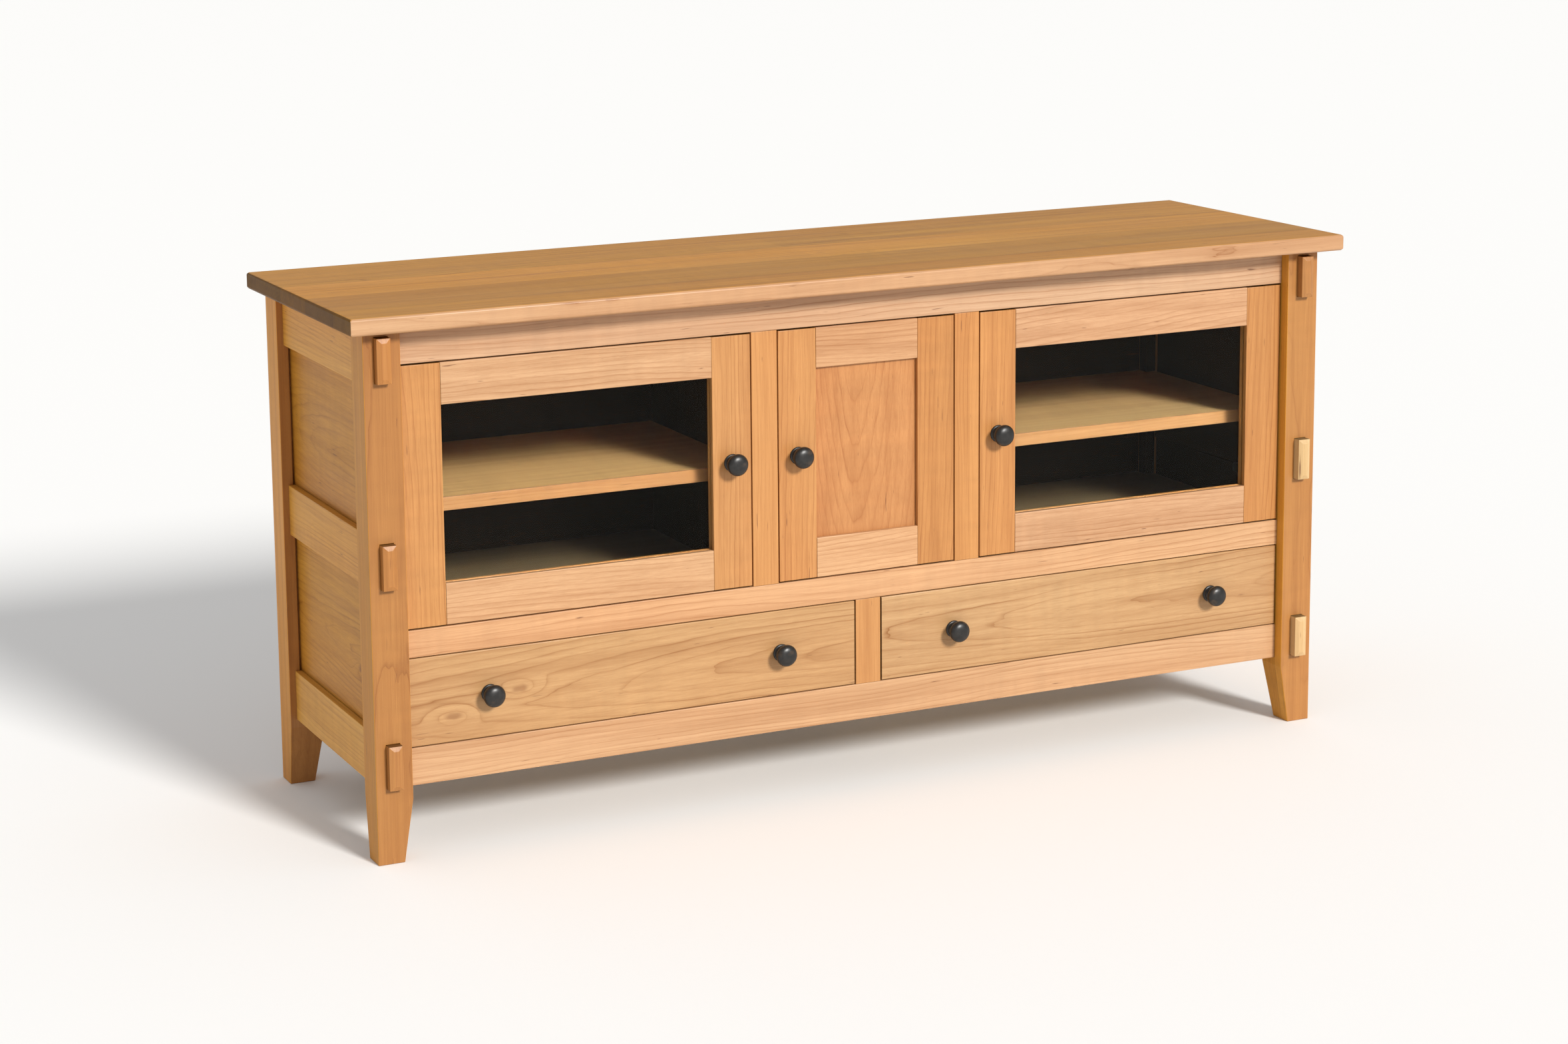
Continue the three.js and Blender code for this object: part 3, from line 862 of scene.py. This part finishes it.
    def build_face_frame(self) -> None:
        """The three long rails and the three mullions."""
        for place in ("top", "middle", "bottom"):
            self.shop.refine(f"frame_rail_{place}", RAIL_PAINTED_SHEEN, Grain(Axis.X, Axis.Z, slope=0.010))
        for node in ("door_mullion_left", "door_mullion_right", "drawer_mullion"):
            self.shop.refine(node, STILE, Grain(Axis.Z, Axis.X, Cut.QUARTER))

    def build_inside(self) -> None:
        """The bay floor, partitions, shelves with their lippings and pins, and drawer runners."""
        # Painted shade: the bay floor is darkened for the shade inside the case.
        self.shop.refine("bay_floor", FLOOR_PAINTED_SHADE, Grain(Axis.X, Axis.Y))
        for side in SIDES:
            # Painted shade: the partitions take the near-black finish for the shade inside the case.
            self.shop.refine(f"partition_{side}", PAINTED_SHADE, Grain(Axis.Z, Axis.Y))
            self.build_shelf(side)
            self.shop.refine(f"drawer_{side}_runner", INSIDE, Grain(Axis.Y, Axis.X, Cut.QUARTER))

    def build_shelf(self, side: str) -> None:
        """A shelf of veneered board with a solid lipping, on four pins."""
        node = f"shelf_{side}"
        low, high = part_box(node)
        seam = low.y + self.lipping
        self.shop.refine(node, INSIDE, Grain(Axis.X, Axis.Y), 0.4 * MM, keep_behind=seam)
        lip = self.shop.box((low.x, high.x), (low.y, seam), (low.z, high.z))
        level = Grain(Axis.X, Axis.Z, Cut.QUARTER)
        self.shop.finish_board(f"{node}_lipping", lip, LIPPING_PAINTED_SHADE, level, "cabinet", 0.8 * MM)
        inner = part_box(f"partition_{side}")
        wall = {"left": inner[0].x, "right": inner[1].x}[side]
        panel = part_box(f"side_panel_upper_{side}")
        far = {"left": panel[1].x, "right": panel[0].x}[side]
        for label, x, reach in (("inner", wall, SIDES[side]), ("outer", far, -SIDES[side])):
            for place, y in (("front", low.y + 0.045), ("rear", high.y - 0.075)):
                pin = bmesh.new()
                middle = (x + reach * self.pin_length / 2, y, low.z - self.pin_radius - 0.1 * MM)
                lay = Matrix.Translation(middle) @ Matrix.Rotation(math.pi / 2, 4, "Y")
                bmesh.ops.create_cone(pin, cap_ends=True, segments=16, radius1=self.pin_radius,
                                      radius2=self.pin_radius, depth=self.pin_length, matrix=lay)
                self.shop.ease_rims(pin, 0.4 * MM)
                self.shop.steel(f"{node}_pin_{label}_{place}", pin, "cabinet")

    def build_back(self) -> None:
        """The back panel, its two rails and the screws that hold it."""
        panel = self.shop.refine("back_panel", BACKING, Grain(Axis.X, Axis.Z), 0.4 * MM)
        # Painted shade on the back panel's inner face.
        self.shop.redress(panel, PAINTED_SHADE, Axis.Y, -1)
        for place in ("top", "bottom"):
            node = f"back_rail_{place}"
            self.shop.refine(node, SIDE_PAINTED_LIGHT, Grain(Axis.X, Axis.Z))
            low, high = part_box(node)
            for number, share in enumerate(self.screw_shares, 1):
                centre = (low.x + share * (high.x - low.x), (low.z + high.z) / 2)
                depth = (high.y - 0.6 * MM, high.y + 0.8 * MM)
                head = self.shop.disc(self.screw_radius, depth, centre, 0.5 * MM, 24)
                self.shop.steel(f"{node}_screw_{number}", head, "cabinet")


@dataclass
class Knob:
    """A turned bronze knob with a stepped foot, a waisted neck and a flattened ball.

    Attributes:
        shop: Makes the piece.
        node: The CAD knob.
    """

    shop: Workshop
    node: str
    PROFILE = (
        (0.0, 0.0), (12.4, 0.0), (13.0, 0.7), (12.6, 2.2), (10.9, 2.9), (10.3, 3.5), (10.4, 4.6), (9.4, 6.0),
        (7.4, 7.0), (6.7, 8.8), (7.3, 10.6), (10.9, 12.1), (14.9, 14.8), (16.3, 18.4), (15.5, 22.0),
        (12.3, 25.0), (6.8, 26.7), (0.0, 27.0),
    )

    def build(self) -> None:
        """Spins the profile round the knob's axis and smooths it."""
        low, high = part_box(self.node)
        centre = Vector(((low.x + high.x) / 2, high.y, (low.z + high.z) / 2))
        mesh = bmesh.new()
        points = [mesh.verts.new(centre + Vector((r * MM, -h * MM, 0.0))) for r, h in self.PROFILE]
        line = [mesh.edges.new(pair) for pair in zip(points, points[1:])]
        bmesh.ops.spin(mesh, geom=points + line, cent=centre, axis=(0, 1, 0), angle=math.tau, steps=28,
                       use_merge=True)
        bmesh.ops.remove_doubles(mesh, verts=mesh.verts, dist=0.01 * MM)
        bmesh.ops.recalc_face_normals(mesh, faces=mesh.faces)
        for face in mesh.faces:
            face.smooth = True
        body = self.shop.body_of[self.node]
        piece = self.shop.hang(f"{self.node}_turned", mesh, Metal.BRONZE.material(), body, "knob_bronze")
        smooth = piece.modifiers.new("smooth", "SUBSURF")
        smooth.levels = smooth.render_levels = 2
        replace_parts(piece, self.node)


@dataclass
class Hinge:
    """One concealed cup hinge: cup and flange on the door, and arm, plate and packing block in the case.

    Attributes:
        shop: Makes the pieces.
        door: The door's label.
        sign: -1 for a door hung on its left, 1 on its right.
        height: The hinge's Z.
        label: upper or lower.
        cup_radius: The cup's radius.
        cup_inset: How far the cup's middle is from the stile's edge.
        flange_half: Half of the flange's width and height.
        arm_length: How far the arm reaches into the case.
        arm_half: Half of the arm's height.
        plate_half: Half of the plate's height.
        packing_half: Half of the packing block's height.
    """

    shop: Workshop
    door: str
    sign: int
    height: float
    label: str
    cup_radius: float = 17.5 * MM
    cup_inset: float = 24.0 * MM
    flange_half: Span = (7.0 * MM, 30.0 * MM)
    arm_length: float = 84.0 * MM
    arm_half: float = 7.0 * MM
    plate_half: float = 15.0 * MM
    packing_half: float = 19.0 * MM
    WALLS = {"left": "side_panel_lower_left", "centre": "partition_right", "right": "side_panel_lower_right"}

    def build(self) -> None:
        """Builds the door's half and the case's half."""
        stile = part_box(f"door_{self.door}_stile_hinge")
        edge = stile[1].x if self.sign > 0 else stile[0].x
        back = stile[1].y
        name = f"door_{self.door}_hinge_{self.label}"
        self.build_cup(name, edge - self.sign * self.cup_inset, back)
        wall = edge + self.sign * 1.6 * MM
        reach = back + self.arm_length
        across = self.span(wall, 11 * MM, 1.6 * MM)
        arm = (across, (back + 3 * MM, reach), self.band(self.arm_half))
        self.shop.steel_box(f"{name}_arm", arm, 2.0 * MM, 3, "cabinet")
        depth = (reach - 38 * MM, reach - 3 * MM)
        plate = (self.span(wall, 3.5 * MM, 0.4 * MM), depth, self.band(self.plate_half))
        self.shop.steel_box(f"{name}_plate", plate, 0.6 * MM, 2, "cabinet")
        face = min((corner.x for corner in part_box(self.WALLS[self.door])), key=abs)
        across = tuple(sorted((wall - self.sign * 0.4 * MM, face)))
        packing = self.shop.box(across, depth, self.band(self.packing_half))
        upright = Grain(Axis.Z, Axis.Y)
        # The packing block takes the bay floor's painted shade.
        self.shop.finish_board(f"{name}_packing", packing, FLOOR_PAINTED_SHADE, upright, "cabinet", 0.8 * MM)

    def build_cup(self, name: str, x: float, back: float) -> None:
        """The cup and its flange, round x on the back of the stile."""
        depth = (back - 0.5 * MM, back + 1.4 * MM)
        cup = self.shop.disc(self.cup_radius, depth, (x, self.height), 0.5 * MM, 40)
        self.shop.steel(f"{name}_cup", cup, f"door_{self.door}")
        wide, tall = self.flange_half
        flange = ((x - wide, x + wide), (back - 0.4 * MM, back + 1.1 * MM), self.band(tall))
        self.shop.steel_box(f"{name}_flange", flange, 0.5 * MM, 2, f"door_{self.door}")

    def band(self, half: float) -> Span:
        """The Z range that reaches this far above and below the hinge's middle."""
        return self.height - half, self.height + half

    def span(self, wall: float, near: float, far: float) -> Span:
        """The X range that starts and ends so far inside a wall."""
        low, high = sorted((wall - self.sign * near, wall - self.sign * far))
        return low, high


@dataclass
class Door:
    """A framed door with its pane or panel, knob and hinges.

    Attributes:
        shop: Makes the pieces.
        label: left, centre or right.
        sign: -1 for a door hung on its left, 1 on its right.
        glass: The pane's material, or None for a panelled door.
        bead: The width and depth of the strips that hold a pane.
        hinge_inset: How far each hinge is from the door's end.
    """

    shop: Workshop
    label: str
    sign: int
    glass: bpy.types.Material | None
    bead: float = 6.5 * MM
    hinge_inset: float = 62.0 * MM

    def build(self) -> None:
        """Builds the frame, what it holds, the knob and the hinges."""
        start = f"door_{self.label}"
        for node in ("stile_hinge", "stile_latch"):
            self.shop.refine(f"{start}_{node}", STILE, Grain(Axis.Z, Axis.X, slope=0.030))
        for node in ("rail_top", "rail_bottom"):
            self.shop.refine(f"{start}_{node}", RAIL_PAINTED_SHEEN, Grain(Axis.X, Axis.Z, slope=0.045))
        if self.glass:
            pane = frame["nodes"][f"{start}_glass"]
            pane.data.materials.clear()
            pane.data.materials.append(self.glass)
            self.build_beads(start)
        else:
            self.shop.refine(f"{start}_panel", PANEL, Grain(Axis.Z, Axis.X, Cut.FLAT, slope=0.085), 0.4 * MM)
        Knob(self.shop, f"{start}_knob").build()
        low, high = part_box(f"{start}_stile_hinge")
        for label, height in (("lower", low.z + self.hinge_inset), ("upper", high.z - self.hinge_inset)):
            Hinge(self.shop, self.label, self.sign, height, label).build()

    def build_beads(self, start: str) -> None:
        """The four strips pinned behind the pane."""
        low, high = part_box(f"{start}_glass")
        y = (high.y + 0.2 * MM, high.y + self.bead)
        outer_x, outer_z = (low.x + 0.3 * MM, high.x - 0.3 * MM), (low.z + 0.3 * MM, high.z - 0.3 * MM)
        inner_x = (outer_x[0] + self.bead, outer_x[1] - self.bead)
        level, upright = Grain(Axis.X, Axis.Z, Cut.QUARTER), Grain(Axis.Z, Axis.X, Cut.QUARTER)
        strips = {
            "top": (inner_x, (outer_z[1] - self.bead, outer_z[1]), level),
            "bottom": (inner_x, (outer_z[0], outer_z[0] + self.bead), level),
            "left": ((outer_x[0], inner_x[0]), outer_z, upright),
            "right": ((inner_x[1], outer_x[1]), outer_z, upright),
        }
        for place, (x, z, grain) in strips.items():
            mesh = self.shop.box(x, y, z)
            self.shop.finish_board(f"{start}_bead_{place}", mesh, STILE, grain, start, 0.7 * MM)


@dataclass
class Drawer:
    """A drawer: figured front, box with its bottom, and two knobs.

    Attributes:
        shop: Makes the pieces.
        label: left or right.
        wall: The thickness of the box's sides and back.
        knots: The places of the knots on the front.
    """

    shop: Workshop
    label: str
    wall: float = 12.0 * MM
    knots: tuple[Span, ...] = ()

    def build(self) -> None:
        """Builds the front, the box's boards, the bottom and the knobs."""
        start = f"drawer_{self.label}"
        figured = Grain(Axis.X, Axis.Z, Cut.FLAT, slope=0.045, knots=self.knots)
        self.shop.refine(f"{start}_front", FRONT, figured, 1.1 * MM)
        self.build_box(start)
        self.shop.refine(f"{start}_bottom", DRAWER, Grain(Axis.X, Axis.Y), 0.3 * MM)
        for knob in ("a", "b"):
            Knob(self.shop, f"{start}_knob_{knob}").build()

    def build_box(self, start: str) -> None:
        """The two sides and the back that stand for the CAD box."""
        low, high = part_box(f"{start}_box")
        z = (low.z, high.z)
        boards = {
            "side_left": ((low.x, low.x + self.wall), (low.y, high.y), Axis.Y),
            "side_right": ((high.x - self.wall, high.x), (low.y, high.y), Axis.Y),
            "back": ((low.x + self.wall, high.x - self.wall), (high.y - self.wall, high.y), Axis.X),
        }
        for place, (x, y, along) in boards.items():
            piece = self.shop.finish_board(f"{start}_{place}", self.shop.box(x, y, z), DRAWER,
                                           Grain(along, Axis.Z, Cut.RIFT), start, 0.8 * MM)
            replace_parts(piece, f"{start}_box")


# ------------------------------------------------------------------------------------------------ stage


@dataclass(frozen=True)
class Camera:
    """The camera, as a place, its turn, its lens and its frame's shift."""

    place: tuple[float, float, float] = (-2.0472, -4.0804, 1.4362)
    heading: float = 23.72
    tilt: float = 9.85
    roll: float = -0.92
    lens: float = 71.57
    shift: tuple[float, float] = (0.0851, -0.12)

    def build(self) -> None:
        """Makes the camera and looks through it."""
        data = bpy.data.cameras.new("camera")
        camera = link_object("camera", data)
        heading, tilt, roll = (math.radians(a) for a in (self.heading, self.tilt, self.roll))
        level = math.cos(tilt)
        ahead = Vector((math.sin(heading) * level, math.cos(heading) * level, -math.sin(tilt)))
        right = Vector((math.cos(heading), -math.sin(heading), 0.0))
        up = right.cross(ahead)
        rolled_right = math.cos(roll) * right + math.sin(roll) * up
        rolled_up = -math.sin(roll) * right + math.cos(roll) * up
        turned = (rolled_right, rolled_up, -ahead)
        camera.matrix_world = Matrix.Translation(self.place) @ Matrix(turned).transposed().to_4x4()
        data.lens, data.sensor_width = self.lens, 36.0
        data.shift_x, data.shift_y = self.shift
        data.clip_start, data.clip_end = 0.05, 60.0
        bpy.context.scene.camera = camera


@dataclass(frozen=True)
class Sun:
    """A broad soft key light, far off.

    Attributes:
        elevation: Its height above the horizon, in degrees.
        heading: How far right of the cabinet's front it stands, in degrees.
        strength: Its strength on a surface that faces it.
        softness: The angle that it fills, in degrees.
        colour: Its colour.
    """

    elevation: float = 28.0
    heading: float = 14.0
    strength: float = 3.5
    softness: float = 12.0
    colour: Colour = (1.0, 0.985, 0.955)

    def build(self) -> None:
        """Makes the light."""
        data = bpy.data.lights.new("key", "SUN")
        data.energy, data.color, data.angle = self.strength, self.colour, math.radians(self.softness)
        lamp = link_object("key", data)
        rise, turn = math.radians(self.elevation), math.radians(self.heading)
        towards = Vector((math.sin(turn) * math.cos(rise), -math.cos(turn) * math.cos(rise), math.sin(rise)))
        lamp.rotation_mode = "QUATERNION"
        lamp.rotation_quaternion = towards.to_track_quat("Z", "Y")


SURROUND = 0.54  # brightness of the even light from all round


def build_stage() -> None:
    """The pale floor, the even surround and the lamps."""
    floor_mesh = bmesh.new()
    bmesh.ops.create_grid(floor_mesh, x_segments=1, y_segments=1, size=30.0)
    data = bpy.data.meshes.new("floor")
    floor_mesh.to_mesh(data)
    floor_mesh.free()
    floor = link_object("floor", data)
    paint, g, shader = new_material("floor_white")
    g.settle(shader, {"Base Color": (0.94, 0.94, 0.935, 1.0), "Roughness": 0.9})
    data.materials.append(paint)
    world = bpy.data.worlds.new("surround")
    world.use_nodes = True
    g.settle(world.node_tree.nodes["Background"], {"Color": (1.0, 1.0, 1.0, 1.0), "Strength": SURROUND})
    bpy.context.scene.world = world
    Sun().build()
    Camera().build()
    bpy.context.scene.view_settings.view_transform = "Standard"


def main() -> None:
    """Builds the stage and every sub-assembly."""
    logging.basicConfig(level=logging.INFO, format="%(message)s")
    build_stage()
    shop = Workshop(seed=7)
    glass = glass_material()
    assemblies = [
        Carcass(shop),
        Door(shop, "left", -1, glass),
        Door(shop, "centre", 1, None),
        Door(shop, "right", 1, glass),
        Drawer(shop, "left", knots=((-0.276, -0.026), (-0.178, 0.0))),
        Drawer(shop, "right"),
    ]
    for assembly in assemblies:
        assembly.build()
        LOG.info("built %s", type(assembly).__name__)


if __name__ == "__main__":
    main()
